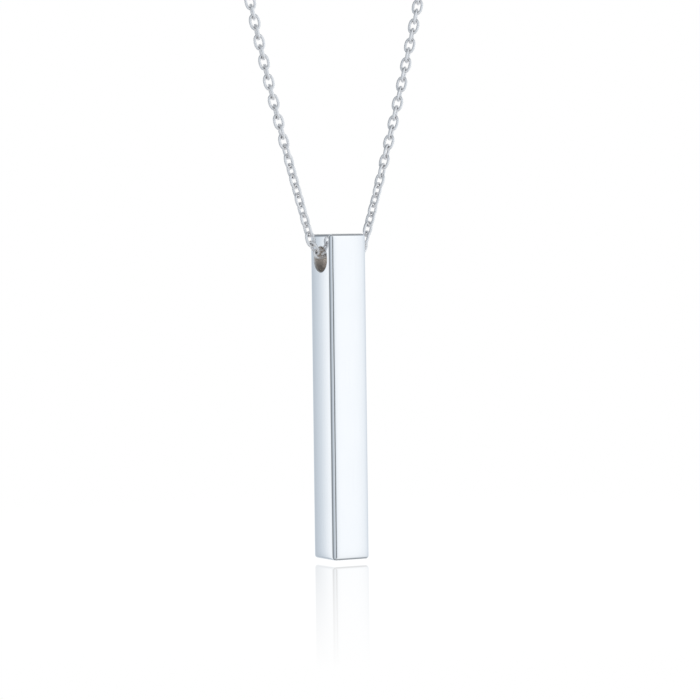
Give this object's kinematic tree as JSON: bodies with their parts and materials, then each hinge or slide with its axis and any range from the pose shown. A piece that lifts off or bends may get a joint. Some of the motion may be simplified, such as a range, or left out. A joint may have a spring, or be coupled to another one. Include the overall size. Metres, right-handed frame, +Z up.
{
  "type": "bar pendant necklace",
  "caption": "Square bar pendant that hangs upright on a fine oval-link chain run through a hole across its top, closed by a spring ring clasp.",
  "frame": {"origin": "underside of the clasp's ring, at the top of the closed loop, where the necklace hangs", "axes": "+Z up, +X along the bar's hole and across the loop, -Y towards the front"},
  "size_m": [0.083, 0.005, 0.2377],
  "materials": {
    "bar_silver": "mirror-polished silver with softly rounded edges",
    "chain_silver": "polished silver wire"
  },
  "bodies": {
    "chain": {"chain_front": "chain_silver", "chain_back": "chain_silver", "end_ring": "chain_silver", "clasp": "chain_silver"},
    "bar": {"bar": "bar_silver"}
  },
  "joints": [
    {"name": "bar_swing", "type": "hinge", "parent": "chain", "child": "bar", "pos_m": [0, 0, -0.19461], "axis": [1, 0, 0], "range_deg": [-90, 90]}
  ]
}
